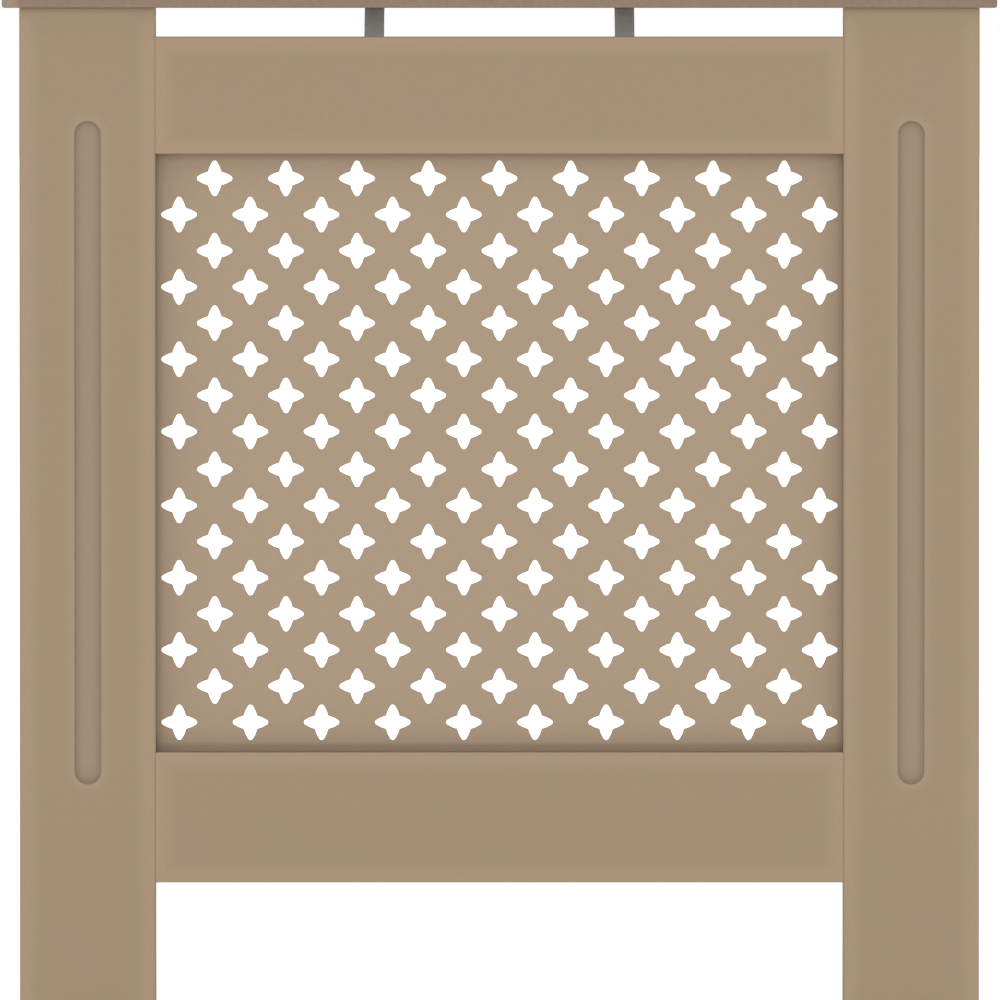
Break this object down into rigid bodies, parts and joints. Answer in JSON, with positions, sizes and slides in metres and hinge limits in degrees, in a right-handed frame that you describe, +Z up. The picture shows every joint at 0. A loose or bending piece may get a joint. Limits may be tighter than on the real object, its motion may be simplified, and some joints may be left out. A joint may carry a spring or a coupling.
{
  "type": "radiator cover cabinet",
  "caption": "Floor-standing radiator cover with a cross-pierced front panel, fluted stiles, side panels, an overhanging top board and air gaps above and below.",
  "frame": {"origin": "on the floor, under the middle of the top board's outline", "axes": "+X along the width, to the right seen from the front; +Y from the front to the wall; +Z up"},
  "size_m": [0.78, 0.19, 0.815],
  "materials": {
    "raw_mdf": "raw sanded MDF, matt, with eased edges",
    "pierced_mdf": "raw thin fibreboard, matt, pierced",
    "batten_mdf": "raw sawn MDF strip, matt",
    "beech": "plain beech dowel",
    "grey_steel": "dull grey steel strip",
    "zinc_plate": "zinc-plated steel"
  },
  "bodies": {
    "root": {"top_board": "raw_mdf", "left_stile": "raw_mdf", "left_side_panel": "raw_mdf", "right_stile": "raw_mdf", "right_side_panel": "raw_mdf", "top_rail": "raw_mdf", "bottom_rail": "raw_mdf", "grille_panel": "pierced_mdf", "grille_batten_top": "batten_mdf", "grille_batten_bottom": "batten_mdf", "grille_batten_left": "batten_mdf", "grille_batten_right": "batten_mdf", "left_strap": "grey_steel", "right_strap": "grey_steel", "stile_bracket_left_1": "zinc_plate", "stile_bracket_left_2": "zinc_plate", "board_bracket_left": "zinc_plate", "wall_bracket_left": "zinc_plate", "stile_bracket_right_1": "zinc_plate", "stile_bracket_right_2": "zinc_plate", "board_bracket_right": "zinc_plate", "wall_bracket_right": "zinc_plate", "screw_strap_rail_left_1": "zinc_plate", "screw_strap_board_left_1": "zinc_plate", "screw_stile_left_1": "zinc_plate", "screw_side_left_1": "zinc_plate", "screw_strap_rail_left_2": "zinc_plate", "screw_strap_board_left_2": "zinc_plate", "screw_stile_left_2": "zinc_plate", "screw_side_left_2": "zinc_plate", "screw_board_left": "zinc_plate", "screw_side_left_top": "zinc_plate", "screw_side_left_wall": "zinc_plate", "screw_strap_rail_right_1": "zinc_plate", "screw_strap_board_right_1": "zinc_plate", "screw_stile_right_1": "zinc_plate", "screw_side_right_1": "zinc_plate", "screw_strap_rail_right_2": "zinc_plate", "screw_strap_board_right_2": "zinc_plate", "screw_stile_right_2": "zinc_plate", "screw_side_right_2": "zinc_plate", "screw_board_right": "zinc_plate", "screw_side_right_top": "zinc_plate", "screw_side_right_wall": "zinc_plate", "dowel_top_rail_left_lower": "beech", "dowel_top_rail_left_upper": "beech", "dowel_top_rail_right_lower": "beech", "dowel_top_rail_right_upper": "beech", "dowel_bottom_rail_left_lower": "beech", "dowel_bottom_rail_left_upper": "beech", "dowel_bottom_rail_right_lower": "beech", "dowel_bottom_rail_right_upper": "beech", "dowel_board_left": "beech", "dowel_board_right": "beech"}
  },
  "joints": []
}
